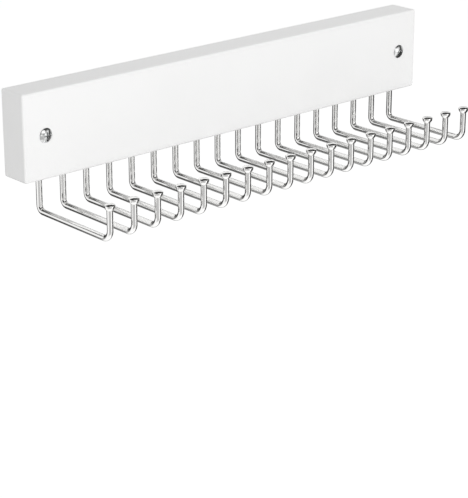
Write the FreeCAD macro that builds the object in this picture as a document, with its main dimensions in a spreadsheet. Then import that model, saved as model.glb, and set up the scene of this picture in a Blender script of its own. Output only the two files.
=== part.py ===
import FreeCAD, Part
import math
import os
from enum import IntEnum

import Sketcher
from FreeCAD import Vector

# A wall hanger: a painted wooden board carries a row of bent wire hooks, set into its underside,
# and two screws through its face hold it to the wall.
# The origin is the middle of the board's back face. +X runs along the board, to the right seen
# from the front, +Y points into the wall and +Z is up. Lengths are millimetres, angles degrees.

SIZES = {
    # Board: its length follows the row of hooks, with a margin past the last stem at each end
    "board_end_margin": 16.75,
    "board_height": 60,
    "board_depth": 24,
    "board_edge_radius": 1.5,
    # Row of hooks: the setback is from the board's front face to the axes of the stems
    "hook_count": 18,
    "hook_pitch": 19.5,
    "hook_setback": 9,
    # One hook: the drop is from the board's underside to the axis of the level run, the reach
    # from the stem's axis to the tip's, and the rise from the run's axis to the top of the head
    "wire_diameter": 4.2,
    "hook_drop": 24,
    "hook_reach": 76,
    "hook_rise": 24.5,
    "back_bend_inside_radius": 2.1,
    "front_bend_inside_radius": 4.9,
    # Upset head on the tip: a bowl that swells out past the wire, a thin rim and a shallow crown
    "head_overhang": 1.6,
    "head_bowl_height": 3.2,
    "head_rim_height": 0.5,
    "head_crown_height": 0.6,
    "head_edge_radius": 0.3,
    # Stem inside the board, with rolled grip rings, and its drilled socket
    "stem_depth": 18,
    "stem_chamfer": 0.6,
    "grip_ring_count": 4,
    "grip_ring_pitch": 3,
    "grip_ring_depth": 0.35,
    "grip_ring_width": 1,
    "grip_ring_margin": 3,
    "socket_clearance": 0.1,
    "drill_point_angle": 118,
    # Screws: the inset is from the board's end, and the reach is how far the thread stands out
    # of the board's back
    "screw_end_inset": 17.5,
    "screw_thread_diameter": 5,
    "screw_thread_height": 0.6,
    "screw_reach": 21,
    "screw_point_length": 5,
    "screw_hole_clearance": 0.25,
    # Raised countersunk screw head: it laps past the hole, its cone sits in the board, and a thin
    # band and a crown with a tapered cross recess stand proud of the board's face
    "screw_head_lap": 2.25,
    "screw_seat_angle": 90,
    "screw_seat_clearance": 0.1,
    "screw_head_band_height": 0.3,
    "screw_head_crown_rise": 1.7,
    "recess_span": 6,
    "recess_width": 1.3,
    "recess_foot_span": 2.4,
    "recess_foot_width": 0.8,
    "recess_depth": 2.4,
    # How far every cut starts outside the solid
    "cut_overrun": 0.5,
}

# Sizes that follow from the driving ones
ROW_LENGTH = "((Sizes.hook_count - 1) * Sizes.hook_pitch)"
BOARD_LENGTH = "(%s + 2 * Sizes.board_end_margin)" % ROW_LENGTH
STEM_PLACE = "(Sizes.hook_setback - Sizes.board_depth)"
WIRE_RADIUS = "(Sizes.wire_diameter / 2)"
BACK_BEND_RADIUS = "(Sizes.back_bend_inside_radius + %s)" % WIRE_RADIUS
FRONT_BEND_RADIUS = "(Sizes.front_bend_inside_radius + %s)" % WIRE_RADIUS
HEAD_RADIUS = "(%s + Sizes.head_overhang)" % WIRE_RADIUS
HEAD_RIM_LEVEL = "(Sizes.head_bowl_height + Sizes.head_rim_height)"
HEAD_HEIGHT = "(%s + Sizes.head_crown_height)" % HEAD_RIM_LEVEL
HEAD_PLACE = "(Sizes.hook_rise - Sizes.hook_drop - %s)" % HEAD_HEIGHT
SCREW_PLACE = "(%s / 2 - Sizes.screw_end_inset)" % BOARD_LENGTH
SCREW_LENGTH = "(Sizes.board_depth + Sizes.screw_reach)"
SCREW_HOLE_RADIUS = "(Sizes.screw_thread_diameter / 2 + Sizes.screw_hole_clearance)"
SCREW_HEAD_RADIUS = "(%s + Sizes.screw_head_lap)" % SCREW_HOLE_RADIUS
SCREW_HEAD_HEIGHT = "(Sizes.screw_head_band_height + Sizes.screw_head_crown_rise)"

SCREW_SIDES = {"screw_left": "-", "screw_right": "+"}


class Spot(IntEnum):
    """Which point of a piece of sketch geometry a constraint takes hold of."""

    START = 1
    END = 2
    CENTRE = 3


class Axis(IntEnum):
    """A sketch's own axes, as constraints number them."""

    UP = -2
    ACROSS = -1


START, END, CENTRE = Spot
UP_AXIS, ACROSS_AXIS = Axis
ORIGIN_POINT = (ACROSS_AXIS, START)
NORMAL = Vector(0, 0, 1)
FULL_TURN = 360
QUARTER_TURN = 90


def write_sheet(doc):
    """Spreadsheet of the driving dimensions, one named cell each."""
    sheet = doc.addObject("Spreadsheet::Sheet", "Sizes")
    for row, (name, number) in enumerate(SIZES.items(), start=1):
        sheet.set("A%d" % row, name)
        sheet.set("B%d" % row, str(number))
        sheet.setAlias("B%d" % row, name)
    doc.recompute()
    return sheet


doc = FreeCAD.newDocument("WallHanger")
sheet = write_sheet(doc)


def value(formula):
    """Number that a formula of sheet sizes gives."""
    return float(sheet.evalExpression(formula))


def new_body(name):
    """Empty body whose label names its piece."""
    body = doc.addObject("PartDesign::Body", name)
    body.Label = name
    return body


def origin_item(body, role):
    """The body's own origin plane or axis with this role."""
    return next(item for item in body.Origin.OriginFeatures if item.Role == role)


def new_sketch(body, title, plane, **offsets):
    """Empty sketch on one of the body's origin planes, moved along its own axes by formulas."""
    sketch = body.newObject("Sketcher::SketchObject", body.Label + "_" + title)
    sketch.AttachmentSupport = (origin_item(body, plane), "")
    sketch.MapMode = "FlatFace"
    for axis, formula in offsets.items():
        sketch.setExpression("AttachmentOffset.Base." + axis, formula)
    return sketch


def new_feature(body, kind, title):
    """New feature on the body's tip."""
    return body.newObject("PartDesign::" + kind, body.Label + "_" + title)


def add_line(sketch, start, end):
    """Straight piece of a sketch between two (across, up) formulas."""
    ends = [Vector(value(across), value(up), 0) for across, up in (start, end)]
    return sketch.addGeometry(Part.LineSegment(*ends))


def add_arc(sketch, centre, radius, first_angle, last_angle):
    """Arc of a sketch, counter-clockwise between two angles in degrees."""
    middle = Vector(value(centre[0]), value(centre[1]), 0)
    circle = Part.Circle(middle, NORMAL, value(radius))
    arc = Part.ArcOfCircle(circle, math.radians(first_angle), math.radians(last_angle))
    return sketch.addGeometry(arc)


def relate(sketch, *relations):
    """Geometric constraints, each written as its kind followed by what it ties together."""
    for relation in relations:
        sketch.addConstraint(Sketcher.Constraint(*relation))


def measure(sketch, *dimensions):
    """Dimension constraints, each a kind, what it measures and the formula that drives it."""
    for *subject, formula in dimensions:
        index = sketch.addConstraint(Sketcher.Constraint(*subject, value(formula)))
        sketch.setExpression("Constraints[%d]" % index, formula)


def add_circle(sketch, across, up, diameter):
    """Circle at an (across, up) place, all three given by formulas."""
    middle = Vector(value(across), value(up), 0)
    circle = sketch.addGeometry(Part.Circle(middle, NORMAL, value(diameter) / 2))
    measure(
        sketch,
        ("DistanceX", *ORIGIN_POINT, circle, CENTRE, across),
        ("DistanceY", *ORIGIN_POINT, circle, CENTRE, up),
        ("Diameter", circle, diameter),
    )


def add_rectangle(sketch, width, height):
    """Rectangle centred on the sketch's origin."""
    right, top = width + " / 2", height + " / 2"
    left, bottom = "-" + right, "-" + top
    corners = [(left, bottom), (right, bottom), (right, top), (left, top)]
    lower, side, upper, other = [
        add_line(sketch, corners[n], corners[(n + 1) % len(corners)]) for n in range(len(corners))
    ]
    relate(
        sketch,
        ("Coincident", lower, END, side, START),
        ("Coincident", side, END, upper, START),
        ("Coincident", upper, END, other, START),
        ("Coincident", other, END, lower, START),
        ("Horizontal", lower),
        ("Vertical", side),
        ("Horizontal", upper),
        ("Vertical", other),
        ("Symmetric", lower, START, upper, START, *ORIGIN_POINT),
    )
    measure(
        sketch,
        ("DistanceX", lower, START, lower, END, width),
        ("DistanceY", side, START, side, END, height),
    )


def turn_about_axis(body, kind, title, sketch):
    """Revolution or Groove of a profile, once round the sketch's upright axis."""
    feature = new_feature(body, kind, title)
    feature.Profile = sketch
    feature.ReferenceAxis = (sketch, ["V_Axis"])
    feature.Angle = FULL_TURN
    return feature


def repeat_along(body, title, feature, axis, count, pitch, backwards=False):
    """Row of copies of a feature along one of the body's axes."""
    row = new_feature(body, "LinearPattern", title)
    row.Originals = [feature]
    row.Direction = (origin_item(body, axis), [""])
    row.Reversed = backwards
    row.setExpression("Length", "(%s - 1) * %s" % (count, pitch))
    row.setExpression("Occurrences", count)
    body.Tip = row
    return row


def make_board():
    """Board with eased edges, a row of drilled sockets underneath and two screw holes."""
    board = new_body("board")

    outline = new_sketch(board, "outline", "XZ_Plane")
    add_rectangle(outline, BOARD_LENGTH, "Sizes.board_height")
    slab = new_feature(board, "Pad", "slab")
    slab.Profile = outline
    slab.setExpression("Length", "Sizes.board_depth")
    doc.recompute()

    edges = new_feature(board, "Fillet", "eased_edges")
    edges.Base = (slab, ["Edge%d" % (n + 1) for n in range(len(slab.Shape.Edges))])
    edges.setExpression("Radius", "Sizes.board_edge_radius")
    doc.recompute()

    drill_sockets(board)
    drill_screw_holes(board)
    return board


def drill_sockets(board):
    """Blind sockets for the hook stems, drilled up into the underside with a pointed drill."""
    socket_diameter = "Sizes.wire_diameter + 2 * Sizes.socket_clearance"
    mark = new_sketch(board, "socket_mark", "XY_Plane", z="-Sizes.board_height / 2")
    add_circle(mark, "-%s / 2" % ROW_LENGTH, STEM_PLACE, socket_diameter)
    doc.recompute()
    socket = new_feature(board, "Hole", "socket")
    socket.Profile = mark
    socket.Reversed = True
    socket.DepthType = "Dimension"
    socket.DrillPoint = "Angled"
    socket.setExpression("Diameter", socket_diameter)
    socket.setExpression("Depth", "Sizes.stem_depth + Sizes.socket_clearance")
    socket.setExpression("DrillPointAngle", "Sizes.drill_point_angle")
    doc.recompute()
    repeat_along(board, "socket_row", socket, "X_Axis", "Sizes.hook_count", "Sizes.hook_pitch")
    doc.recompute()


def drill_screw_holes(board):
    """Countersunk clearance holes for the screws, right through the board from its front."""
    hole_diameter = "2 * " + SCREW_HOLE_RADIUS
    mark = new_sketch(board, "screw_mark", "XZ_Plane", z="Sizes.board_depth")
    add_circle(mark, "-" + SCREW_PLACE, "0", hole_diameter)
    doc.recompute()
    hole = new_feature(board, "Hole", "screw_hole")
    hole.Profile = mark
    hole.DepthType = "ThroughAll"
    hole.HoleCutType = "Countersink"
    hole.setExpression("Diameter", hole_diameter)
    hole.setExpression("HoleCutDiameter", "2 * (%s + Sizes.screw_seat_clearance)" % SCREW_HEAD_RADIUS)
    hole.setExpression("HoleCutCountersinkAngle", "Sizes.screw_seat_angle")
    doc.recompute()
    pair = new_feature(board, "Mirrored", "screw_hole_pair")
    pair.Originals = [hole]
    pair.MirrorPlane = (origin_item(board, "YZ_Plane"), [""])
    board.Tip = pair
    doc.recompute()


def make_hook(number):
    """One bent wire hook. Its own origin is where the stem's axis leaves the board's underside."""
    hook = new_body("hook_%02d" % (number + 1))

    section = new_sketch(hook, "section", "XY_Plane", z="Sizes.stem_depth")
    add_circle(section, "0", "0", "Sizes.wire_diameter")
    wire = new_feature(hook, "AdditivePipe", "wire")
    wire.Profile = section
    wire.Spine = (draw_hook_axis(hook), [])
    doc.recompute()

    stem_end = new_feature(hook, "Chamfer", "stem_end")
    stem_end.Base = (wire, edges_at_height(wire.Shape, value("Sizes.stem_depth")))
    stem_end.setExpression("Size", "Sizes.stem_chamfer")
    doc.recompute()

    head = turn_about_axis(hook, "Revolution", "head", draw_hook_head(hook))
    doc.recompute()
    rim = new_feature(hook, "Fillet", "head_rim")
    rim.Base = (head, edges_at_height(head.Shape, value(HEAD_PLACE + " + " + HEAD_RIM_LEVEL)))
    rim.setExpression("Radius", "Sizes.head_edge_radius")
    doc.recompute()

    ring = turn_about_axis(hook, "Groove", "grip_ring", draw_grip_ring(hook))
    doc.recompute()
    repeat_along(
        hook, "grip_rings", ring, "Z_Axis", "Sizes.grip_ring_count", "Sizes.grip_ring_pitch", backwards=True
    )

    hook.setExpression("Placement.Base.x", "%d * Sizes.hook_pitch - %s / 2" % (number, ROW_LENGTH))
    hook.setExpression("Placement.Base.y", STEM_PLACE)
    hook.setExpression("Placement.Base.z", "-Sizes.board_height / 2")
    doc.recompute()
    return hook


def edges_at_height(shape, height):
    """Names of a shape's edges whose ends all lie at this height."""
    slack = Part.Precision.confusion()
    return [
        "Edge%d" % (n + 1)
        for n, edge in enumerate(shape.Edges)
        if all(math.isclose(vertex.Z, height, abs_tol=slack) for vertex in edge.Vertexes)
    ]


def draw_hook_axis(hook):
    """The wire's axis: down the stem, a tight bend, the level run, a wider bend and up the tip."""
    sketch = new_sketch(hook, "axis", "YZ_Plane")
    run_level = "-Sizes.hook_drop"
    tip_place = "-Sizes.hook_reach"
    tip_length = "Sizes.hook_rise - " + HEAD_HEIGHT
    run_start = "-" + BACK_BEND_RADIUS
    run_end = tip_place + " + " + FRONT_BEND_RADIUS
    stem_foot = run_level + " + " + BACK_BEND_RADIUS
    tip_foot = run_level + " + " + FRONT_BEND_RADIUS

    stem = add_line(sketch, ("0", "Sizes.stem_depth"), ("0", stem_foot))
    back_bend = add_arc(sketch, (run_start, stem_foot), BACK_BEND_RADIUS, -90, 0)
    run = add_line(sketch, (run_start, run_level), (run_end, run_level))
    front_bend = add_arc(sketch, (run_end, tip_foot), FRONT_BEND_RADIUS, 180, 270)
    tip = add_line(sketch, (tip_place, tip_foot), (tip_place, run_level + " + " + tip_length))
    relate(
        sketch,
        ("PointOnObject", stem, START, UP_AXIS),
        ("Vertical", stem),
        ("Tangent", stem, END, back_bend, END),
        ("Tangent", back_bend, START, run, START),
        ("Horizontal", run),
        ("Tangent", run, END, front_bend, END),
        ("Tangent", front_bend, START, tip, START),
        ("Vertical", tip),
    )
    measure(
        sketch,
        ("DistanceY", *ORIGIN_POINT, stem, START, "Sizes.stem_depth"),
        ("DistanceY", run, START, *ORIGIN_POINT, "Sizes.hook_drop"),
        ("DistanceX", tip, END, *ORIGIN_POINT, "Sizes.hook_reach"),
        ("DistanceY", run, START, tip, END, tip_length),
        ("Radius", back_bend, BACK_BEND_RADIUS),
        ("Radius", front_bend, FRONT_BEND_RADIUS),
    )
    return sketch


def draw_hook_head(hook):
    """Half profile of the upset head: the wire swells into a bowl with a thin rim and a crown."""
    sketch = new_sketch(hook, "head_profile", "YZ_Plane", x="-Sizes.hook_reach", y=HEAD_PLACE)
    overhang, bowl = "Sizes.head_overhang", "Sizes.head_bowl_height"
    rim, crown = "Sizes.head_rim_height", "Sizes.head_crown_height"
    bowl_radius = "(%s ^ 2 + %s ^ 2) / (2 * %s)" % (overhang, bowl, overhang)
    crown_radius = "(%s ^ 2 + %s ^ 2) / (2 * %s)" % (HEAD_RADIUS, crown, crown)
    bowl_turn = math.degrees(math.asin(value(bowl) / value(bowl_radius)))
    crown_turn = math.degrees(math.asin(value(HEAD_RADIUS) / value(crown_radius)))

    foot = add_line(sketch, ("0", "0"), (WIRE_RADIUS, "0"))
    swell = add_arc(sketch, (HEAD_RADIUS + " - " + bowl_radius, bowl), bowl_radius, -bowl_turn, 0)
    edge = add_line(sketch, (HEAD_RADIUS, bowl), (HEAD_RADIUS, HEAD_RIM_LEVEL))
    top = add_arc(sketch, ("0", HEAD_HEIGHT + " - " + crown_radius), crown_radius, 90 - crown_turn, 90)
    axis = add_line(sketch, ("0", HEAD_HEIGHT), ("0", "0"))
    relate(
        sketch,
        ("Coincident", foot, START, *ORIGIN_POINT),
        ("PointOnObject", foot, END, ACROSS_AXIS),
        ("Coincident", foot, END, swell, START),
        ("Tangent", swell, END, edge, START),
        ("Vertical", edge),
        ("Coincident", edge, END, top, START),
        ("PointOnObject", top, CENTRE, UP_AXIS),
        ("Coincident", top, END, axis, START),
        ("Coincident", axis, END, *ORIGIN_POINT),
        ("Vertical", axis),
    )
    measure(
        sketch,
        ("DistanceX", *ORIGIN_POINT, foot, END, WIRE_RADIUS),
        ("DistanceX", *ORIGIN_POINT, edge, START, HEAD_RADIUS),
        ("DistanceY", *ORIGIN_POINT, edge, START, bowl),
        ("DistanceY", edge, START, edge, END, rim),
        ("DistanceY", edge, END, axis, START, crown),
    )
    return sketch


def draw_grip_ring(hook):
    """V-shaped section of the topmost grip ring, standing out of the wire by the cut's overrun."""
    sketch = new_sketch(hook, "grip_ring_profile", "YZ_Plane", y="Sizes.stem_depth - Sizes.grip_ring_margin")
    root = WIRE_RADIUS + " - Sizes.grip_ring_depth"
    mouth = WIRE_RADIUS + " + Sizes.cut_overrun"
    half_width = (
        "Sizes.grip_ring_width / 2 * (Sizes.grip_ring_depth + Sizes.cut_overrun) / Sizes.grip_ring_depth"
    )
    upper = add_line(sketch, (root, "0"), (mouth, half_width))
    outer = add_line(sketch, (mouth, half_width), (mouth, "-" + half_width))
    lower = add_line(sketch, (mouth, "-" + half_width), (root, "0"))
    relate(
        sketch,
        ("Coincident", upper, END, outer, START),
        ("Coincident", outer, END, lower, START),
        ("Coincident", lower, END, upper, START),
        ("PointOnObject", upper, START, ACROSS_AXIS),
        ("Symmetric", outer, START, outer, END, ACROSS_AXIS),
    )
    measure(
        sketch,
        ("DistanceX", *ORIGIN_POINT, upper, START, root),
        ("DistanceX", *ORIGIN_POINT, outer, START, mouth),
        ("DistanceY", *ORIGIN_POINT, outer, START, half_width),
    )
    return sketch


def make_screw(name, side):
    """One screw, drawn with its head up. Its own origin is on the axis, level with the board's face."""
    screw = new_body(name)
    turn_about_axis(screw, "Revolution", "blank", draw_screw(screw))
    doc.recompute()
    cut_cross_recess(screw)

    screw.Placement.Rotation = FreeCAD.Rotation(Vector(1, 0, 0), QUARTER_TURN)
    screw.setExpression("Placement.Base.x", side + SCREW_PLACE)
    screw.setExpression("Placement.Base.y", "-Sizes.board_depth")
    doc.recompute()
    return screw


def draw_screw(screw):
    """Half profile: a tapered point, the thread's outside, a plain shank and a raised conical head."""
    sketch = new_sketch(screw, "profile", "XZ_Plane")
    thread = "Sizes.screw_thread_diameter / 2"
    shank = "(%s - Sizes.screw_thread_height)" % thread
    band, rise = "Sizes.screw_head_band_height", "Sizes.screw_head_crown_rise"
    back = "-Sizes.board_depth"
    point_start = "Sizes.screw_point_length - " + SCREW_LENGTH
    cone_height = "(%s - %s) / tan(Sizes.screw_seat_angle / 2)" % (SCREW_HEAD_RADIUS, shank)
    crown = "(%s ^ 2 + %s ^ 2) / (2 * %s)" % (SCREW_HEAD_RADIUS, rise, rise)
    turn = math.degrees(math.asin(value(SCREW_HEAD_RADIUS) / value(crown)))

    cone = add_line(sketch, ("0", "-" + SCREW_LENGTH), (thread, point_start))
    crest = add_line(sketch, (thread, point_start), (thread, back))
    step = add_line(sketch, (thread, back), (shank, back))
    neck = add_line(sketch, (shank, back), (shank, "-" + cone_height))
    seat = add_line(sketch, (shank, "-" + cone_height), (SCREW_HEAD_RADIUS, "0"))
    side = add_line(sketch, (SCREW_HEAD_RADIUS, "0"), (SCREW_HEAD_RADIUS, band))
    top = add_arc(sketch, ("0", "%s - %s" % (SCREW_HEAD_HEIGHT, crown)), crown, 90 - turn, 90)
    axis = add_line(sketch, ("0", SCREW_HEAD_HEIGHT), ("0", "-" + SCREW_LENGTH))
    relate(
        sketch,
        ("Coincident", axis, END, cone, START),
        ("Coincident", cone, END, crest, START),
        ("Vertical", crest),
        ("Coincident", crest, END, step, START),
        ("Horizontal", step),
        ("Coincident", step, END, neck, START),
        ("Vertical", neck),
        ("Coincident", neck, END, seat, START),
        ("PointOnObject", seat, END, ACROSS_AXIS),
        ("Coincident", seat, END, side, START),
        ("Vertical", side),
        ("Coincident", side, END, top, START),
        ("PointOnObject", top, CENTRE, UP_AXIS),
        ("Coincident", top, END, axis, START),
        ("PointOnObject", axis, START, UP_AXIS),
        ("PointOnObject", axis, END, UP_AXIS),
    )
    measure(
        sketch,
        ("DistanceY", axis, END, *ORIGIN_POINT, SCREW_LENGTH),
        ("DistanceY", cone, START, cone, END, "Sizes.screw_point_length"),
        ("DistanceX", *ORIGIN_POINT, crest, START, thread),
        ("DistanceY", crest, END, *ORIGIN_POINT, "Sizes.board_depth"),
        ("DistanceX", *ORIGIN_POINT, neck, START, shank),
        ("DistanceY", neck, END, *ORIGIN_POINT, cone_height),
        ("DistanceX", *ORIGIN_POINT, side, START, SCREW_HEAD_RADIUS),
        ("DistanceY", side, START, side, END, band),
        ("DistanceY", *ORIGIN_POINT, axis, START, SCREW_HEAD_HEIGHT),
    )
    return sketch


def cut_cross_recess(screw):
    """Driver recess: one tapered slot, and a second across it."""
    mouth = new_sketch(screw, "recess_mouth", "XY_Plane", z=SCREW_HEAD_HEIGHT + " + Sizes.cut_overrun")
    add_rectangle(mouth, "Sizes.recess_span", "Sizes.recess_width")
    foot = new_sketch(screw, "recess_foot", "XY_Plane", z=SCREW_HEAD_HEIGHT + " - Sizes.recess_depth")
    add_rectangle(foot, "Sizes.recess_foot_span", "Sizes.recess_foot_width")
    slot = new_feature(screw, "SubtractiveLoft", "recess_slot")
    slot.Profile = mouth
    slot.Sections = [foot]
    slot.Ruled = True
    doc.recompute()
    cross = new_feature(screw, "PolarPattern", "recess_cross")
    cross.Originals = [slot]
    cross.Axis = (origin_item(screw, "Z_Axis"), [""])
    cross.Occurrences = 2
    cross.Angle = QUARTER_TURN
    screw.Tip = cross
    doc.recompute()


def check(pieces):
    """Stop if any object failed or any piece isn't one valid solid."""
    for item in doc.Objects:
        if {"Invalid", "Error"} & set(item.State):
            raise RuntimeError("%s failed: %s" % (item.Label, item.State))
        if item.isDerivedFrom("Sketcher::SketchObject") and not item.FullyConstrained:
            raise RuntimeError("%s isn't fully constrained" % item.Label)
    for piece in pieces:
        shape = piece.Shape
        if shape.isNull() or not shape.isValid() or len(shape.Solids) != 1:
            raise RuntimeError("%s isn't one valid solid" % piece.Label)


pieces = [make_board()]
pieces += [make_hook(number) for number in range(int(value("Sizes.hook_count")))]
pieces += [make_screw(name, side) for name, side in SCREW_SIDES.items()]
check(pieces)

os.makedirs("parts", exist_ok=True)
for piece in pieces:
    piece.Shape.exportStep("parts/%s.step" % piece.Label)
    print("%s: %.1f mm3" % (piece.Label, piece.Shape.Volume))
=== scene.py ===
import math

import bmesh
import bpy
from mathutils import Matrix, Vector


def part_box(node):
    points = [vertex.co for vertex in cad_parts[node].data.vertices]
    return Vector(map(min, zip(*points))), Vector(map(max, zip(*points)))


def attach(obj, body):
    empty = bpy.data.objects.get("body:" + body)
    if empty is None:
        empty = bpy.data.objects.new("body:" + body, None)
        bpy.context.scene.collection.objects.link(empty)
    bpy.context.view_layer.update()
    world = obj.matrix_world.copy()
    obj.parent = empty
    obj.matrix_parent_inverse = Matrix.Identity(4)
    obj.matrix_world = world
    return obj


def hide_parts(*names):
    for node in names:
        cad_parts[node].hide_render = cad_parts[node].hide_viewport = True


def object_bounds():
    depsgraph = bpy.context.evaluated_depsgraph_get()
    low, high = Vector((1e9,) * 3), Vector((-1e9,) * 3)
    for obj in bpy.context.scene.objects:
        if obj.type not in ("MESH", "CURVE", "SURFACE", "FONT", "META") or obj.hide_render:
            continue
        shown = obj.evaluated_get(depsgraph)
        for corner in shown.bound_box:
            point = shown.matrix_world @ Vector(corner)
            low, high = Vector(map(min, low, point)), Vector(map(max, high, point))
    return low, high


# A wall hanger: a white painted board, a row of chromed wire hooks in its underside and two bright
# screws. Lengths are metres and angles degrees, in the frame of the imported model: +X along the
# board, +Y into the wall, +Z up. Azimuths turn from the board's front towards +X.

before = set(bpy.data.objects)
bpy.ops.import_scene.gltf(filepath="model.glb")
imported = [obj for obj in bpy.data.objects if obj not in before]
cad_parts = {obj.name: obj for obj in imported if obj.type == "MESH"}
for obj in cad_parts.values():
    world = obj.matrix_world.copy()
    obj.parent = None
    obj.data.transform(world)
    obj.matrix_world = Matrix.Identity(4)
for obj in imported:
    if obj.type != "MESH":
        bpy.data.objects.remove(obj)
cad_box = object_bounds()

BODY = "root"
HOOK_COUNT = sum(name.startswith("hook_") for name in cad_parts)
SCREW_NAMES = ("screw_left", "screw_right")
MM = 0.001

# Board: the socket's point stands above the top of the stem in it
BOARD_EDGE_RADIUS = 1.5 * MM
BOARD_EDGE_STEPS = 6
SOCKET_CLEARANCE = 0.1 * MM
SOCKET_POINT_HEIGHT = 1.3 * MM
SCREW_HOLE_RADIUS = 2.75 * MM
SEAT_CLEARANCE = 0.1 * MM
CUT_OVERRUN = 0.5 * MM
HOLE_SIDES = 48

# Hooks: the rise is from the axis of the level run to the top of the head, and the bends are
# measured on the wire's axis
WIRE_RADIUS = 2.1 * MM
HOOK_RISE = 24.5 * MM
BACK_BEND_RADIUS = 4.2 * MM
FRONT_BEND_RADIUS = 7 * MM
BOWL_HEIGHT = 3.2 * MM
RIM_HEIGHT = 0.5 * MM
CROWN_HEIGHT = 0.6 * MM
HEAD_EDGE_RADIUS = 0.65 * MM
STEM_CHAMFER = 0.6 * MM
GRIP_RING_COUNT = 4
GRIP_RING_PITCH = 3 * MM
GRIP_RING_DEPTH = 0.35 * MM
GRIP_RING_WIDTH = 1 * MM
GRIP_RING_MARGIN = 3 * MM
WIRE_SIDES = 48
BEND_STEPS = 20
HEAD_STEPS = 8

# Points along the axis of a stem: its closed chamfered end, and the lips and root of each ring
STEM_END_POINTS = 3
GRIP_RING_POINTS = 3

# Screws: the thread is as wide as a share of its pitch at its foot and its crest
SCREW_SEAT_ANGLE = 90
SCREW_SHANK_RADIUS = 1.9 * MM
SCREW_SHANK_SETBACK = 0.3 * MM
SCREW_POINT_LENGTH = 5 * MM
SCREW_BAND_HEIGHT = 0.3 * MM
SCREW_CROWN_RISE = 1.7 * MM
SCREW_CROWN_STEPS = 12
SCREW_EDGE_BEVEL = 0.1 * MM
SCREW_EDGE_STEPS = 2
SCREW_SIDES = 64
RECESS_MOUTH = Vector((6, 1.3)) * MM
RECESS_FOOT = Vector((2.4, 0.8)) * MM
RECESS_DEPTH = 2.4 * MM
RECESS_TURNS = (0, 90)
THREAD_ROOT_RADIUS = 1.75 * MM
THREAD_RADIUS = 2.5 * MM
THREAD_PITCH = 2.2 * MM
THREAD_RUN_IN = 2 * MM
THREAD_FOOT_SHARE = 0.6
THREAD_CREST_SHARE = 0.1
THREAD_SIDES = 48
THREAD_STRIP_STEPS = 20

# Meshes: edges that turn less than the angle are shaded smooth
SMOOTH_ANGLE = math.radians(32)
WELD_DISTANCE = 0.002 * MM
ROUND_PROFILE = 0.5

# Finishes: where most of a noise lies, then the range of each grey and roughness, the tint, and the
# depth and strength of the relief
NOISE_RANGE = (0.25, 0.75)
PAINT_GREY = (0.862, 0.882)
PAINT_TINT = (1, 1, 0.997)
PAINT_ROUGHNESS = (0.36, 0.47)
PAINT_RELIEF = (0.08 * MM, 0.6)
CHROME_GREY = (0.9, 0.94)
CHROME_TINT = (1, 0.996, 0.985)
CHROME_ROUGHNESS = (0.08, 0.14)
CHROME_RELIEF = (0.02 * MM, 0.05)
ZINC_GREY = (0.74, 0.82)
ZINC_TINT = (0.99, 1, 1)
ZINC_ROUGHNESS = (0.12, 0.22)
ZINC_RELIEF = (0.03 * MM, 0.1)

# Paint on the board's edges is a little darker and smoother, and over the end grain duller and
# pitted. The wood's grain and pores are drawn out along the board.
PAINT_EDGE_WIDTH = 4 * MM
PAINT_EDGE_SHADE = 0.015
PAINT_EDGE_POLISH = 0.06
END_GRAIN_DULLNESS = 0.05
PORE_SHADE = 0.02
GRAIN_STRETCH = (14, 420, 420)
PORE_STRETCH = (300, 900, 900)

# Lines drawn along the wire follow the place on its ring far more than the place in the hanger
RING_PLACE = "ring_place"
LINES_ROUND_WIRE = (11, 11, 11)
LINES_ALONG_WIRE = (45, 45, 45)

# Camera of the photograph: where it stands round its target, and its focal length in pixels
PHOTO_HEIGHT_PIXELS = 498
CAMERA_FOCAL_PIXELS = 1835
CAMERA_AZIMUTH = -41.5
CAMERA_ELEVATION = 20.48
CAMERA_DISTANCE = 1.368
CAMERA_TARGET = Vector((0.0192, 0, -0.131))
SENSOR_WIDTH_MM = 36

# Studio: a floor and a world that look white but light the hanger less, and a softbox in front
WHITE = (1, 1, 1, 1)
WORLD_LIGHT = 0.78
FLOOR_DROP = 1
FLOOR_HALF_WIDTH = 30
FLOOR_COLOUR = (0.82, 0.82, 0.82, 1)
FLOOR_ROUGHNESS = 0.9
FLOOR_LIFT = 0.36
SOFTBOX_PLACE = Vector((-0.6, -3, 0.7))
SOFTBOX_SIZE = (2.6, 1.9)
SOFTBOX_POWER = 38.5

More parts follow.
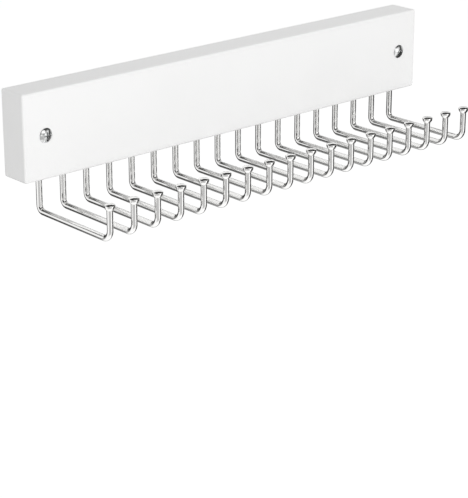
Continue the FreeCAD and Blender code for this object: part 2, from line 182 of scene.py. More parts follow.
# Cards round the hanger that show only in its metal and gloss: the place of the middle, half the
# angle each way, the tone, and the share of each half over which the card fades out. Upright wire
# mirrors the front card in its middle, the open white beside it and the dark back at its edges.
# Where cards cross, the nearer one covers the farther.
CARD_STEPS = 48
CARD_COVER = "cover"
FAR, MIDDLE, NEAR = 0.95, 0.9, 0.85
CARDS = {
    "back_flag": dict(
        azimuth=CAMERA_AZIMUTH + 170, elevation=-30, half_width=94, half_height=44,
        tone=0.04, side_fade=0.1, end_fade=0.4, distance=FAR,
    ),
    "back_card": dict(
        azimuth=CAMERA_AZIMUTH + 180, elevation=-30, half_width=40, half_height=40,
        tone=0.3, side_fade=0.5, end_fade=0.5, distance=MIDDLE,
    ),
    "front_flag": dict(
        azimuth=CAMERA_AZIMUTH, elevation=-24, half_width=42, half_height=34,
        tone=0.56, side_fade=0.45, end_fade=0.7, distance=FAR,
    ),
    "ceiling_flag": dict(
        azimuth=CAMERA_AZIMUTH + 180, elevation=68, half_width=80, half_height=42,
        tone=0.03, side_fade=0.3, end_fade=0.1, distance=FAR,
    ),
    "front_ceiling_flag": dict(
        azimuth=CAMERA_AZIMUTH, elevation=50, half_width=62, half_height=55,
        tone=0.06, side_fade=0.3, end_fade=0.25, distance=FAR,
    ),
    "window_card": dict(
        azimuth=-16, elevation=24, half_width=22, half_height=15,
        tone=1.3, side_fade=0.3, end_fade=0.3, distance=NEAR,
    ),
    "low_flag": dict(
        azimuth=80, elevation=-48, half_width=50, half_height=24,
        tone=0.08, side_fade=0.5, end_fade=0.5, distance=FAR,
    ),
    "zenith_card": dict(
        azimuth=CAMERA_AZIMUTH, elevation=90, half_width=16, half_height=16,
        tone=0.7, side_fade=0.7, end_fade=0.7, distance=NEAR,
    ),
    "side_card": dict(
        azimuth=92, elevation=2, half_width=28, half_height=13,
        tone=0.55, side_fade=0.5, end_fade=0.5, distance=NEAR,
    ),
}


# Objects

def add_object(title, content):
    """Object with a mesh, camera or lamp in it, in the scene."""
    item = bpy.data.objects.new(title, content)
    bpy.context.scene.collection.objects.link(item)
    return item


def settle(piece):
    """Turns a piece with its modifiers into a plain mesh."""
    depsgraph = bpy.context.evaluated_depsgraph_get()
    mesh = bpy.data.meshes.new_from_object(piece.evaluated_get(depsgraph))
    piece.modifiers.clear()
    piece.data = mesh
    mesh.name = piece.name


# Node trees

class Field:
    """Socket of a node tree that is reckoned with like a number: each step adds a Math node."""

    def __init__(self, tree, socket):
        self.tree = tree
        self.socket = socket

    def step(self, operation, *others):
        """What a Math node makes of this field and other fields or numbers."""
        node = self.tree.nodes.new("ShaderNodeMath")
        node.operation = operation
        for slot, item in zip(node.inputs, (self, *others)):
            feed(self.tree, slot, item)
        return Field(self.tree, node.outputs[0])

    def __add__(self, other):
        return self.step("ADD", other)

    def __sub__(self, other):
        return self.step("SUBTRACT", other)

    def __mul__(self, other):
        return self.step("MULTIPLY", other)

    def __truediv__(self, other):
        return self.step("DIVIDE", other)

    def __neg__(self):
        return self * -1

    __radd__ = __add__
    __rmul__ = __mul__

    def __rsub__(self, other):
        return -self + other

    def at_most(self, other):
        return self.step("MINIMUM", other)

    def at_least(self, other):
        return self.step("MAXIMUM", other)

    def limited(self):
        """Kept between zero and one."""
        return self.at_least(0).at_most(1)

    def reaches(self, number):
        """One where a counted field is at or past a whole number, and zero before it."""
        return self.step("GREATER_THAN", number - 0.5)

    def towards(self, other, share):
        """Moved by a share of the way to another field."""
        return self + (other - self) * share


def feed(tree, socket, item):
    """Links a socket to a field or another socket, or sets its plain value."""
    if isinstance(item, Field):
        item = item.socket
    if isinstance(item, bpy.types.NodeSocket):
        tree.links.new(item, socket)
    else:
        socket.default_value = item


def add_node(tree, kind, sockets=None, **settings):
    """New node with its settings, and its inputs fed by name or number."""
    node = tree.nodes.new(kind)
    for name, setting in settings.items():
        setattr(node, name, setting)
    for name, item in (sockets or {}).items():
        feed(tree, node.inputs[name], item)
    return node


def add_field(tree, kind, output=0, sockets=None, **settings):
    """One output of a new node, as a field."""
    return Field(tree, add_node(tree, kind, sockets, **settings).outputs[output])


def point(tree, x, y, z):
    """Vector socket with these three parts."""
    return add_node(tree, "ShaderNodeCombineXYZ", {"X": x, "Y": y, "Z": z}).outputs[0]


def parts_of(tree, vector):
    """The three parts of a vector, as fields."""
    split = add_node(tree, "ShaderNodeSeparateXYZ", {0: vector})
    return [Field(tree, socket) for socket in split.outputs]


# Pieces from Geometry Nodes

def new_shape_tree(title, lengths, counts=()):
    """Empty geometry tree with named inputs, and its inputs as a dictionary of fields."""
    tree = bpy.data.node_groups.new(title, "GeometryNodeTree")
    kinds = {name: "NodeSocketFloat" for name in lengths}
    kinds.update({name: "NodeSocketInt" for name in counts})
    kinds.update({"Place": "NodeSocketVector", "Material": "NodeSocketMaterial"})
    for name, kind in kinds.items():
        tree.interface.new_socket(name, in_out="INPUT", socket_type=kind)
    tree.interface.new_socket("Geometry", in_out="OUTPUT", socket_type="NodeSocketGeometry")
    entry = tree.nodes.new("NodeGroupInput")
    return tree, {name: Field(tree, entry.outputs[name]) for name in kinds}


def end_shape_tree(tree, mesh, given):
    """Closes a geometry tree: welded, smooth, in its place, realized and with its material."""
    welded = add_node(
        tree, "GeometryNodeMergeByDistance", {"Geometry": mesh, "Distance": WELD_DISTANCE}
    )
    angle = add_field(tree, "GeometryNodeInputMeshEdgeAngle")
    creased = angle.step("GREATER_THAN", SMOOTH_ANGLE)
    shaded = add_node(
        tree,
        "GeometryNodeSetShadeSmooth",
        {"Geometry": welded.outputs[0], "Selection": creased, "Shade Smooth": False},
        domain="EDGE",
    )
    placed = add_node(
        tree,
        "GeometryNodeTransform",
        {"Geometry": shaded.outputs[0], "Translation": given["Place"]},
    )
    real = add_node(tree, "GeometryNodeRealizeInstances", {"Geometry": placed.outputs[0]})
    coated = add_node(
        tree,
        "GeometryNodeSetMaterial",
        {"Geometry": real.outputs[0], "Material": given["Material"]},
    )
    add_node(tree, "NodeGroupOutput", {"Geometry": coated.outputs[0]})


def line_of_points(tree, count, position, radius):
    """Curve through counted points, placed and given radii by fields of their number."""
    row = add_node(tree, "GeometryNodeMeshLine", {"Count": count})
    moved = add_node(
        tree, "GeometryNodeSetPosition", {"Geometry": row.outputs[0], "Position": position}
    )
    curve = add_node(tree, "GeometryNodeMeshToCurve", {"Mesh": moved.outputs[0]})
    sized = add_node(
        tree, "GeometryNodeSetCurveRadius", {"Curve": curve.outputs[0], "Radius": radius}
    )
    return sized.outputs[0]


def choose(tree, index, kind, items):
    """Field that takes the item with the point's number, and zero past the last item."""
    node = tree.nodes.new("GeometryNodeIndexSwitch")
    node.data_type = kind
    while len(node.index_switch_items) < len(items):
        node.index_switch_items.new()
    feed(tree, node.inputs["Index"], index)
    for slot, item in zip(list(node.inputs)[1:], items):
        feed(tree, slot, item)
    return Field(tree, node.outputs[0])


def shape_piece(title, tree, settings):
    """Piece with the plain mesh that a tree makes of these settings."""
    piece = add_object(title, bpy.data.meshes.new(title))
    modifier = piece.modifiers.new("shape", "NODES")
    modifier.node_group = tree
    for name, setting in settings.items():
        modifier[tree.interface.items_tree[name].identifier] = setting
    settle(piece)
    return piece


# Pieces from mesh code

def mesh_piece(title, build, material):
    """Piece whose mesh a function draws into an empty bmesh."""
    mesh = bpy.data.meshes.new(title)
    shape = bmesh.new()
    build(shape)
    bmesh.ops.recalc_face_normals(shape, faces=shape.faces)
    shape.to_mesh(mesh)
    shape.free()
    mesh.materials.append(material)
    return add_object(title, mesh)


def lathe(shape, profile, sides):
    """Turns a profile of (radius, height) points round the Z axis. A radius of zero is a pole."""
    rings = []
    for radius, height in profile:
        turns = [math.tau * n / sides for n in range(sides)] if radius else [0]
        places = [(radius * math.cos(turn), radius * math.sin(turn), height) for turn in turns]
        rings.append([shape.verts.new(place) for place in places])
    for lower, upper in zip(rings, rings[1:]):
        for n in range(sides):
            route = ((lower, n), (lower, n + 1), (upper, n + 1), (upper, n))
            corners = [ring[place % len(ring)] for ring, place in route]
            shape.faces.new(list(dict.fromkeys(corners)))


def arc(centre, radius, first, last, steps):
    """Points of a profile's arc between two angles, both ends included."""
    turns = [math.radians(first + (last - first) * n / steps) for n in range(steps + 1)]
    return [
        (centre[0] + radius * math.cos(turn), centre[1] + radius * math.sin(turn))
        for turn in turns
    ]


def lay_along_y(shape, place):
    """Turns a shape drawn along +Z so that it runs along +Y, and moves it to its place."""
    turn = Matrix.Translation(place) @ Matrix.Rotation(math.radians(-90), 4, "X")
    bmesh.ops.transform(shape, matrix=turn, verts=shape.verts)


def combine(piece, operation, others):
    """Cuts other solids out of a piece or welds them on to it, and removes them."""
    for other in others:
        step = piece.modifiers.new(operation, "BOOLEAN")
        step.operation = operation
        step.solver = "EXACT"
        step.object = other
    settle(piece)
    for other in others:
        bpy.data.objects.remove(other)


def close_holes(piece):
    """Fills the open ends of a piece and turns its faces outwards."""
    shape = bmesh.new()
    shape.from_mesh(piece.data)
    bmesh.ops.holes_fill(shape, edges=shape.edges, sides=0)
    bmesh.ops.recalc_face_normals(shape, faces=shape.faces)
    shape.to_mesh(piece.data)
    shape.free()


def ease_edges(piece, width, steps):
    """Rounds a piece's sharp edges a little and smooths its shading."""
    bevel = piece.modifiers.new("edges", "BEVEL")
    bevel.width = width
    bevel.segments = steps
    bevel.limit_method = "ANGLE"
    bevel.angle_limit = SMOOTH_ANGLE
    settle(piece)
    smooth(piece)


def smooth(piece):
    """Smooth shading, with the flat faces kept flat beside rounded edges."""
    piece.data.shade_smooth()
    piece.data.set_sharp_from_angle(angle=SMOOTH_ANGLE)
    weighted = piece.modifiers.new("normals", "WEIGHTED_NORMAL")
    weighted.keep_sharp = True
    settle(piece)


# Finishes

def new_material(title):
    """Material with a Principled shader, and its tree and shader."""
    material = bpy.data.materials.new(title)
    material.use_nodes = True
    return material, material.node_tree, material.node_tree.nodes["Principled BSDF"]


def new_finish(title):
    """Material with its tree, its shader and the place on the piece."""
    material, tree, shader = new_material(title)
    return material, tree, shader, add_node(tree, "ShaderNodeTexCoord").outputs["Object"]


def noise(tree, where, scale=1, detail=2):
    """Noise field at a vector."""
    sockets = {"Vector": where, "Scale": scale, "Detail": detail}
    return add_field(tree, "ShaderNodeTexNoise", "Fac", sockets)


def spread(tree, field, limits):
    """Field moved from the middle of the noise range to between two limits."""
    names = ("From Min", "From Max", "To Min", "To Max")
    sockets = {"Value": field, **dict(zip(names, (*NOISE_RANGE, *limits)))}
    return add_field(tree, "ShaderNodeMapRange", 0, sockets)


def grey(tree, level, tint):
    """Colour of one level, tinted by three factors."""
    parts = {name: level * factor for name, factor in zip(("Red", "Green", "Blue"), tint)}
    return add_node(tree, "ShaderNodeCombineColor", parts).outputs[0]


def stretched(tree, where, factors):
    """Vector with its three parts multiplied by factors."""
    sockets = {0: where, 1: factors}
    return add_node(tree, "ShaderNodeVectorMath", sockets, operation="MULTIPLY").outputs[0]


def roughen(tree, shader, height, relief):
    """Relief of a shader's surface, of a depth and strength."""
    depth, strength = relief
    sockets = {"Height": height, "Strength": strength, "Distance": depth}
    feed(tree, shader.inputs["Normal"], add_node(tree, "ShaderNodeBump", sockets).outputs[0])


def board_margins(tree, where):
    """How near a place is to the board's edges and to its end faces, from zero to one."""
    low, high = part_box("board")
    middle, half = (low + high) / 2, (high - low) / 2
    along, across, up = [
        extent - (place - centre).step("ABSOLUTE")
        for place, centre, extent in zip(parts_of(tree, where), middle, half)
    ]
    edge_distance = across.at_most(up).at_least(across.at_least(up).at_most(along))
    edge = (1 - edge_distance / PAINT_EDGE_WIDTH).limited()
    end = (1 - along / BOARD_EDGE_RADIUS).limited()
    return edge, end


def white_paint():
    """Sprayed satin paint: orange peel over faint grain, thin on edges and coarse on the ends."""
    material, tree, shader, where = new_finish("white_paint")
    edge, end = board_margins(tree, where)
    peel = noise(tree, where, scale=950, detail=3)
    drift = noise(tree, where, scale=22, detail=4)
    mist = noise(tree, where, scale=3200, detail=1)
    grain = noise(tree, stretched(tree, where, GRAIN_STRETCH), detail=3)
    pores = noise(tree, stretched(tree, where, PORE_STRETCH)) * end
    level = spread(tree, drift, PAINT_GREY) - edge * PAINT_EDGE_SHADE - pores * PORE_SHADE
    patches = spread(tree, peel * 0.5 + drift * 0.5, PAINT_ROUGHNESS)
    roughness = patches - edge * PAINT_EDGE_POLISH + end * END_GRAIN_DULLNESS
    height = peel * 0.8 + mist * 0.2 + drift * 0.6 + grain * 0.35 + pores * 0.8
    feed(tree, shader.inputs["Base Color"], grey(tree, level, PAINT_TINT))
    feed(tree, shader.inputs["Roughness"], roughness)
    roughen(tree, shader, height, PAINT_RELIEF)
    return material


def chrome_wire():
    """Bright chrome over drawn wire: faint lines along it and a thin mist of fine wear."""
    material, tree, shader, where = new_finish("chrome_wire")
    ring = add_node(tree, "ShaderNodeAttribute", attribute_name=RING_PLACE).outputs["Vector"]
    around = stretched(tree, ring, LINES_ROUND_WIRE)
    along = stretched(tree, where, LINES_ALONG_WIRE)
    both = add_node(tree, "ShaderNodeVectorMath", {0: around, 1: along}, operation="ADD")
    lines = noise(tree, both.outputs[0], detail=3)
    mist = noise(tree, where, scale=380, detail=3)
    spots = noise(tree, where, scale=90, detail=4)
    level = spread(tree, mist * 0.5 + spots * 0.5, CHROME_GREY)
    roughness = spread(tree, lines * 0.5 + mist * 0.5, CHROME_ROUGHNESS)
    shader.inputs["Metallic"].default_value = 1
    feed(tree, shader.inputs["Base Color"], grey(tree, level, CHROME_TINT))
    feed(tree, shader.inputs["Roughness"], roughness)
    roughen(tree, shader, lines, CHROME_RELIEF)
    return material


def bright_screw():
    """Bright zinc on steel, a little duller than the hooks, with fine tumbling marks."""
    material, tree, shader, where = new_finish("bright_screw")
    mist = noise(tree, where, scale=500, detail=3)
    dents = noise(tree, where, scale=1500)
    roughness = spread(tree, mist * 0.6 + dents * 0.4, ZINC_ROUGHNESS)
    shader.inputs["Metallic"].default_value = 1
    feed(tree, shader.inputs["Base Color"], grey(tree, spread(tree, mist, ZINC_GREY), ZINC_TINT))
    feed(tree, shader.inputs["Roughness"], roughness)
    roughen(tree, shader, dents, ZINC_RELIEF)
    return material


# Board

def make_board(material):
    """Board with rounded edges, its sockets and its screw holes."""
    low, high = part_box("board")

    def slab(shape):
        bmesh.ops.create_cube(shape, size=1)
        place = Matrix.Translation((low + high) / 2) @ Matrix.Diagonal((*(high - low), 1))
        bmesh.ops.transform(shape, matrix=place, verts=shape.verts)
        bmesh.ops.bevel(
            shape,
            geom=shape.edges,
            offset=BOARD_EDGE_RADIUS,
            segments=BOARD_EDGE_STEPS,
            profile=ROUND_PROFILE,
            affect="EDGES",
        )

    board = mesh_piece("board_painted", slab, material)
    drills = [socket_drill(number, low.z, material) for number in range(HOOK_COUNT)]
    drills += [screw_hole_drill(name, low.y, high.y, material) for name in SCREW_NAMES]
    combine(board, "DIFFERENCE", drills)
    smooth(board)
    return board


def socket_drill(number, underside, material):
    """Drill that makes one hook's socket, with its point."""
    centre, top = stem_of(number)
    radius = WIRE_RADIUS + SOCKET_CLEARANCE

    def drill(shape):
        profile = [
            (0, underside - CUT_OVERRUN),
            (radius, underside - CUT_OVERRUN),
            (radius, top + SOCKET_CLEARANCE),
            (0, top + SOCKET_POINT_HEIGHT),
        ]
        lathe(shape, profile, HOLE_SIDES)
        bmesh.ops.translate(shape, verts=shape.verts, vec=(centre.x, centre.y, 0))

    return mesh_piece("socket_drill", drill, material)


def screw_hole_drill(name, front, back, material):
    """Drill that makes one screw's countersunk hole, right through the board."""
    centre, head_radius = screw_head(name)
    mouth = head_radius + SEAT_CLEARANCE
    slope = math.tan(math.radians(SCREW_SEAT_ANGLE / 2))

    def drill(shape):
        start, end = front - CUT_OVERRUN, back + CUT_OVERRUN
        seat_foot = front + (mouth - SCREW_HOLE_RADIUS) / slope
        profile = [
            (0, start),
            (mouth + CUT_OVERRUN * slope, start),
            (SCREW_HOLE_RADIUS, seat_foot),
            (SCREW_HOLE_RADIUS, end),
            (0, end),
        ]
        lathe(shape, profile, HOLE_SIDES)
        lay_along_y(shape, Vector((centre.x, 0, centre.z)))

    return mesh_piece("screw_hole_drill", drill, material)


# Hooks

def hook_name(number):
    """Name of a hook's node, with the row counted from zero."""
    return "hook_%02d" % (number + 1)


def stem_of(number):
    """Centre of a hook's stem, and the height of its top inside the board."""
    low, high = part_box(hook_name(number))
    return Vector(((low.x + high.x) / 2, high.y - WIRE_RADIUS)), high.z


def hook_tree():
    """Geometry tree of one bent wire hook: rings in the board, two bends and an upset head."""
    tree, given = new_shape_tree(
        "bent_wire_hook",
        (
            "Wire Radius", "Stem Length", "Buried Length", "Reach", "Rise", "Back Bend",
            "Front Bend", "Head Radius", "Bowl Height", "Rim Height", "Crown Height",
            "Edge Radius", "Chamfer", "Ring Pitch", "Ring Depth", "Ring Width", "Ring Margin",
        ),
        ("Ring Count", "Sides", "Bend Steps", "Head Steps"),
    )
    index = add_field(tree, "GeometryNodeInputIndex")
    joined = add_node(tree, "GeometryNodeJoinGeometry")
    for draw in (grip_end_curve, bent_wire_curve, head_curve):
        tree.links.new(draw(tree, given, index), joined.inputs[0])
    circle = add_node(
        tree, "GeometryNodeCurvePrimitiveCircle", {"Resolution": given["Sides"], "Radius": 1.0}
    )
    marked = add_node(
        tree,
        "GeometryNodeStoreNamedAttribute",
        {
            "Geometry": circle.outputs[0],
            "Name": RING_PLACE,
            "Value": add_node(tree, "GeometryNodeInputPosition").outputs[0],
        },
        data_type="FLOAT_VECTOR",
        domain="POINT",
    )
    swept = add_node(
        tree,
        "GeometryNodeCurveToMesh",
        {
            "Curve": joined.outputs[0],
            "Profile Curve": marked.outputs[0],
            "Scale": add_node(tree, "GeometryNodeInputRadius").outputs[0],
        },
    )
    end_shape_tree(tree, swept.outputs[0], given)
    return tree


def grip_end_curve(tree, given, index):
    """The stem inside the board: a closed chamfered end and V-shaped grip rings."""
    wire, chamfer, buried = given["Wire Radius"], given["Chamfer"], given["Buried Length"]
    end_depth = choose(tree, index, "FLOAT", [0, 0, chamfer])
    end_radius = choose(tree, index, "FLOAT", [0, wire - chamfer, wire])

    # The side is zero at a ring's root, and minus and plus one at its lips
    ring_point = index - STEM_END_POINTS
    ring = (ring_point / GRIP_RING_POINTS).step("FLOOR")
    side = ring_point - ring * GRIP_RING_POINTS - 1
    ring_middle = given["Ring Margin"] + ring * given["Ring Pitch"]
    ring_depth = (ring_middle + side * given["Ring Width"] / 2).at_most(buried)
    ring_radius = wire - (1 - side.step("ABSOLUTE")) * given["Ring Depth"]

    last = given["Ring Count"] * GRIP_RING_POINTS + STEM_END_POINTS
    on_rings = index.reaches(STEM_END_POINTS)
    depth = end_depth.towards(ring_depth, on_rings).towards(buried, index.reaches(last))
    radius = end_radius.towards(ring_radius, on_rings)
    place = point(tree, 0, 0, given["Stem Length"] - depth)
    return line_of_points(tree, last + 1, place, radius)


def bent_wire_curve(tree, given, index):
    """The wire from the board's underside round both bends to the foot of the head."""
    reach = -given["Reach"]
    corners = [
        point(tree, 0, 0, given["Stem Length"] - given["Buried Length"]),
        point(tree, 0, 0, 0),
        point(tree, 0, reach, 0),
        point(tree, 0, reach, given["Rise"] - head_height(given)),
    ]
    place = choose(tree, index, "VECTOR", corners)
    line = line_of_points(tree, len(corners), place, given["Wire Radius"])
    rounding = choose(tree, index, "FLOAT", [0, given["Back Bend"], given["Front Bend"], 0])
    bends = add_node(
        tree,
        "GeometryNodeFilletCurve",
        {"Curve": line, "Count": given["Bend Steps"], "Radius": rounding},
        mode="POLY",
    )
    return bends.outputs[0]


def head_height(given):
    """Height of the head, from the wire's end to the top of the crown."""
    return given["Bowl Height"] + given["Rim Height"] + given["Crown Height"]


def head_curve(tree, given, index):
    """The upset head: a bowl that swells from the wire, a rounded rim and a shallow crown."""
    wire, head, bowl = given["Wire Radius"], given["Head Radius"], given["Bowl Height"]
    crown, edge, steps = given["Crown Height"], given["Edge Radius"], given["Head Steps"]
    top = head_height(given)
    overhang = head - wire
    bowl_radius = (overhang * overhang + bowl * bowl) / (overhang * 2)
    crown_radius = (head * head + crown * crown) / (crown * 2)

    # The rim's rounding touches the bowl's upright side and the crown
    edge_out = head - edge
    meeting = (edge_out / (crown_radius - edge)).step("ARCSINE")
    edge_up = top - crown_radius + (crown_radius - edge) * meeting.step("COSINE")

    # Each of the three arcs has one point more than it has steps
    points = steps + 1
    on_edge, on_crown = index.reaches(points), index.reaches(points * 2)
    bowl_turn = ((index / steps).limited() - 1) * (bowl / bowl_radius).step("ARCSINE")
    edge_turn = ((index - points) / steps).limited() * (math.pi / 2 - meeting)
    crown_turn = (1 - ((index - points * 2) / steps).limited()) * meeting

    out = head - bowl_radius * (1 - bowl_turn.step("COSINE"))
    out = out.towards(edge_out + edge * edge_turn.step("COSINE"), on_edge)
    out = out.towards(crown_radius * crown_turn.step("SINE"), on_crown)
    up = bowl + bowl_radius * bowl_turn.step("SINE")
    up = up.towards(edge_up + edge * edge_turn.step("SINE"), on_edge)
    up = up.towards(top - crown_radius * (1 - crown_turn.step("COSINE")), on_crown)
    place = point(tree, 0, -given["Reach"], given["Rise"] - top + up)
    return line_of_points(tree, points * 3, place, out)


def make_hooks(material):
    """Every hook of the row, each where its node is."""
    tree = hook_tree()
    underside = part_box("board")[0].z
    hooks = []
    for number in range(HOOK_COUNT):
        low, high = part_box(hook_name(number))
        head_radius = (high.x - low.x) / 2
        stem, top = stem_of(number)
        run_level = low.z + WIRE_RADIUS
        tip = low.y + head_radius
        hook = shape_piece(
            hook_name(number) + "_chromed",
            tree,
            {
                "Wire Radius": WIRE_RADIUS,
                "Stem Length": top - run_level,
                "Buried Length": top - underside,
                "Reach": stem.y - tip,
                "Rise": HOOK_RISE,
                "Back Bend": BACK_BEND_RADIUS,
                "Front Bend": FRONT_BEND_RADIUS,
                "Head Radius": head_radius,
                "Bowl Height": BOWL_HEIGHT,
                "Rim Height": RIM_HEIGHT,
                "Crown Height": CROWN_HEIGHT,
                "Edge Radius": HEAD_EDGE_RADIUS,
                "Chamfer": STEM_CHAMFER,
                "Ring Pitch": GRIP_RING_PITCH,
                "Ring Depth": GRIP_RING_DEPTH,
                "Ring Width": GRIP_RING_WIDTH,
                "Ring Margin": GRIP_RING_MARGIN,
                "Ring Count": GRIP_RING_COUNT,
                "Sides": WIRE_SIDES,
                "Bend Steps": BEND_STEPS,
                "Head Steps": HEAD_STEPS,
                "Place": (stem.x, stem.y, run_level),
                "Material": material,
            },
        )
        hooks.append(hook)
    return hooks


# Screws

def screw_head(name):
    """Centre of a screw's box, whose width is its head's, and the head's radius."""
    low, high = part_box(name)
    return (low + high) / 2, (high.x - low.x) / 2


def make_screw(name, thread, material):
    """Raised countersunk screw: a crowned head with a cross recess, a plain shank and a thread."""
    low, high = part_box(name)
    centre, head_radius = screw_head(name)
    shank_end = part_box("board")[1].y - SCREW_SHANK_SETBACK
    crown = (head_radius ** 2 + SCREW_CROWN_RISE ** 2) / (2 * SCREW_CROWN_RISE)
    crown_turn = math.degrees(math.asin(head_radius / crown))
    slope = math.tan(math.radians(SCREW_SEAT_ANGLE / 2))

    def blank(shape):
        # Heights run from the top of the crown into the wall
        seat = SCREW_CROWN_RISE + SCREW_BAND_HEIGHT
        profile = [
            (0, 0),
            *arc((0, crown), crown, -90, -90 + crown_turn, SCREW_CROWN_STEPS)[1:],
            (head_radius, seat),
            (SCREW_SHANK_RADIUS, seat + (head_radius - SCREW_SHANK_RADIUS) / slope),
            (SCREW_SHANK_RADIUS, shank_end - low.y),
            (0, shank_end - low.y),
        ]
        lathe(shape, profile, SCREW_SIDES)
        lay_along_y(shape, Vector((centre.x, low.y, centre.z)))

    screw = mesh_piece(name + "_bright", blank, material)
    slots = [recess_slot(centre, low.y, turn, material) for turn in RECESS_TURNS]
    combine(screw, "DIFFERENCE", slots)
    ease_edges(screw, SCREW_EDGE_BEVEL, SCREW_EDGE_STEPS)
    start = Vector((centre.x, shank_end - THREAD_ROOT_RADIUS, centre.z))
    combine(screw, "UNION", [make_thread(thread, start, high.y - start.y, material)])
    smooth(screw)
    return screw


def recess_slot(centre, top, turn, material):
    """One tapered slot of the cross recess, as a solid to cut away."""

    def wedge(shape):
        for size, level in ((RECESS_MOUTH, -CUT_OVERRUN), (RECESS_FOOT, RECESS_DEPTH)):
            for x in (-size.x / 2, size.x / 2):
                for y in (-size.y / 2, size.y / 2):
                    shape.verts.new((x, y, level))
        bmesh.ops.convex_hull(shape, input=shape.verts)
        spin = Matrix.Rotation(math.radians(turn), 3, "Z")
        bmesh.ops.rotate(shape, verts=shape.verts, matrix=spin)
        lay_along_y(shape, Vector((centre.x, top, centre.z)))

    return mesh_piece("recess_slot", wedge, material)


def thread_tree():
    """Geometry tree of a thread along +Y: a helical strip one pitch wide, drawn to a point."""
    tree, given = new_shape_tree(
        "screw_thread",
        (
            "Root Radius", "Thread Height", "Pitch", "Length", "Point Length", "Plain Length",
            "Run In", "Foot Share", "Crest Share",
        ),
        ("Turns", "Sides", "Strip Steps"),
    )
    turns = given["Turns"]
    strip = add_node(
        tree,
        "GeometryNodeMeshGrid",
        {
            "Size X": turns,
            "Size Y": 1.0,
            "Vertices X": turns * given["Sides"] + 1,
            "Vertices Y": given["Strip Steps"] + 1,
        },
    )
    along, across, _ = parts_of(tree, add_node(tree, "GeometryNodeInputPosition").outputs[0])
    turn = along + turns / 2
    level = ((turn + across - 0.5) * given["Pitch"]).at_least(0).at_most(given["Length"])
    flank = (given["Foot Share"] - given["Crest Share"]) / 2
    ridge = ((given["Foot Share"] / 2 - across.step("ABSOLUTE")) / flank).limited()
    ridge = ridge * ((level - given["Plain Length"]) / given["Run In"]).limited()
    taper = ((given["Length"] - level) / given["Point Length"]).limited()
    radius = (given["Root Radius"] + given["Thread Height"] * ridge) * taper
    angle = turn * math.tau
    place = point(tree, radius * angle.step("COSINE"), level, -(radius * angle.step("SINE")))
    wound = add_node(
        tree, "GeometryNodeSetPosition", {"Geometry": strip.outputs[0], "Position": place}
    )
    end_shape_tree(tree, wound.outputs[0], given)
    return tree


def make_thread(tree, place, length, material):
    """Thread with a plain start that goes into the shank, closed all round."""
    thread = shape_piece(
        "thread",
        tree,
        {
            "Root Radius": THREAD_ROOT_RADIUS,
            "Thread Height": THREAD_RADIUS - THREAD_ROOT_RADIUS,
            "Pitch": THREAD_PITCH,
            "Length": length,
            "Point Length": SCREW_POINT_LENGTH,
            "Plain Length": THREAD_ROOT_RADIUS,
            "Run In": THREAD_RUN_IN,
            "Foot Share": THREAD_FOOT_SHARE,
            "Crest Share": THREAD_CREST_SHARE,
            "Turns": math.ceil(length / THREAD_PITCH) + 1,
            "Sides": THREAD_SIDES,
            "Strip Steps": THREAD_STRIP_STEPS,
            "Place": place,
            "Material": material,
        },
    )
    close_holes(thread)
    return thread


# Studio

def outward(azimuth, elevation):
    """Unit vector from the hanger to where these angles point."""
    azimuth, elevation = math.radians(azimuth), math.radians(elevation)
    level = math.cos(elevation)
    return Vector((math.sin(azimuth) * level, -math.cos(azimuth) * level, math.sin(elevation)))


def look_along(item, direction):
    """Turns a camera or a lamp to face a direction."""
    item.rotation_mode = "QUATERNION"
    item.rotation_quaternion = direction.to_track_quat("-Z", "Y")


def make_camera():
    """The photograph's camera."""
    lens = bpy.data.cameras.new("camera")
    lens.sensor_width = SENSOR_WIDTH_MM
    lens.lens = CAMERA_FOCAL_PIXELS / PHOTO_HEIGHT_PIXELS * SENSOR_WIDTH_MM
    camera = add_object("camera", lens)
    back = outward(CAMERA_AZIMUTH, CAMERA_ELEVATION)
    camera.location = CAMERA_TARGET + back * CAMERA_DISTANCE
    look_along(camera, -back)
    bpy.context.scene.camera = camera


def seen_directly(tree):
    """One where a ray comes from the camera, a mirror or glass, and zero where it only lights."""
    path = add_node(tree, "ShaderNodeLightPath")
    seen = Field(tree, path.outputs["Is Camera Ray"])
    for name in ("Is Glossy Ray", "Is Transmission Ray"):
        seen = seen.at_least(Field(tree, path.outputs[name]))
    return seen


def make_world():
    """White surroundings that light the hanger a little less than they look."""
    world = bpy.data.worlds.new("studio")
    bpy.context.scene.world = world
    world.use_nodes = True
    tree = world.node_tree
    back = tree.nodes["Background"]
    back.inputs["Color"].default_value = WHITE
    feed(tree, back.inputs["Strength"], WORLD_LIGHT + seen_directly(tree) * (1 - WORLD_LIGHT))


def make_floor():
    """Pale floor under the hanger, lifted to white where it is seen and clear from below."""
    material, tree, shader = new_material("floor")
    shader.inputs["Base Color"].default_value = FLOOR_COLOUR
    shader.inputs["Roughness"].default_value = FLOOR_ROUGHNESS
    shader.inputs["Specular IOR Level"].default_value = 0
    shader.inputs["Emission Color"].default_value = WHITE
    feed(tree, shader.inputs["Emission Strength"], seen_directly(tree) * FLOOR_LIFT)
    below = add_node(tree, "ShaderNodeNewGeometry").outputs["Backfacing"]
    clear = add_node(tree, "ShaderNodeBsdfTransparent").outputs[0]
    one_sided = add_node(tree, "ShaderNodeMixShader", {0: below, 1: shader.outputs[0], 2: clear})
    feed(tree, tree.nodes["Material Output"].inputs["Surface"], one_sided.outputs[0])

    def sheet(shape):
        bmesh.ops.create_grid(shape, x_segments=1, y_segments=1, size=FLOOR_HALF_WIDTH)
        level = cad_box[0].z - FLOOR_DROP
        bmesh.ops.translate(shape, verts=shape.verts, vec=(0, 0, level))

    mesh_piece("floor", sheet, material)


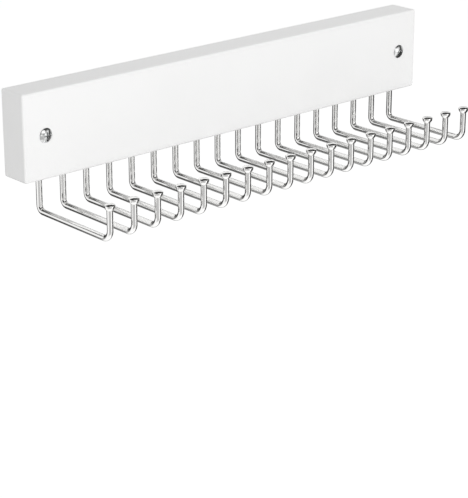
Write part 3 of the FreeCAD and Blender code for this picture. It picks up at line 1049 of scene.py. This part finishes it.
def card_face(title, tone):
    """Even glow of one grey, clear where the card's cover thins out."""
    material = bpy.data.materials.new(title)
    material.use_nodes = True
    tree = material.node_tree
    tree.nodes.clear()
    cover = add_node(tree, "ShaderNodeAttribute", attribute_name=CARD_COVER).outputs["Fac"]
    clear = add_node(tree, "ShaderNodeBsdfTransparent").outputs[0]
    glow = add_node(tree, "ShaderNodeEmission", {"Color": (tone, tone, tone, 1)}).outputs[0]
    mixed = add_node(tree, "ShaderNodeMixShader", {0: cover, 1: clear, 2: glow})
    add_node(tree, "ShaderNodeOutputMaterial", {"Surface": mixed.outputs[0]})
    return material


def fade(share, width):
    """Smooth step from zero at a card's edge to one where its fading width ends."""
    inward = min(1, (1 - abs(share)) / width)
    return inward * inward * (3 - 2 * inward)


def make_card(
    title, azimuth, elevation, half_width, half_height, tone, side_fade, end_fade, distance
):
    """Soft-edged card, curved round the hanger, which shows only in its metal and gloss."""
    turn = Matrix.Rotation(math.radians(azimuth), 3, "Z")
    aim = turn @ Matrix.Rotation(math.radians(-elevation), 3, "X")

    def sheet(shape):
        cover = shape.verts.layers.float.new(CARD_COVER)
        bmesh.ops.create_grid(shape, x_segments=CARD_STEPS, y_segments=CARD_STEPS, size=1)
        for vert in shape.verts:
            across, up, _ = vert.co
            vert[cover] = fade(across, side_fade) * fade(up, end_fade)
            vert.co = aim @ outward(half_width * across, half_height * up) * distance

    card = mesh_piece(title, sheet, card_face(title, tone))
    for ray in ("camera", "diffuse", "shadow", "transmission", "volume_scatter"):
        setattr(card, "visible_" + ray, False)


def make_softbox():
    """Broad lamp in front of the hanger, a little above it and to the left."""
    lamp = bpy.data.lights.new("front_softbox", "AREA")
    lamp.shape = "RECTANGLE"
    lamp.size, lamp.size_y = SOFTBOX_SIZE
    lamp.energy = SOFTBOX_POWER
    softbox = add_object("front_softbox", lamp)
    softbox.location = SOFTBOX_PLACE
    look_along(softbox, -SOFTBOX_PLACE)


def finish_piece(piece, node):
    """The piece rides with the hanger, and the node it stands for is hidden."""
    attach(piece, BODY)
    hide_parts(node)


bpy.context.scene.view_settings.view_transform = "Standard"
make_camera()
make_world()
make_floor()
for title, card in CARDS.items():
    make_card(title, **card)
make_softbox()

finish_piece(make_board(white_paint()), "board")
for number, hook in enumerate(make_hooks(chrome_wire())):
    finish_piece(hook, hook_name(number))
thread = thread_tree()
screw_finish = bright_screw()
for name in SCREW_NAMES:
    finish_piece(make_screw(name, thread, screw_finish), name)
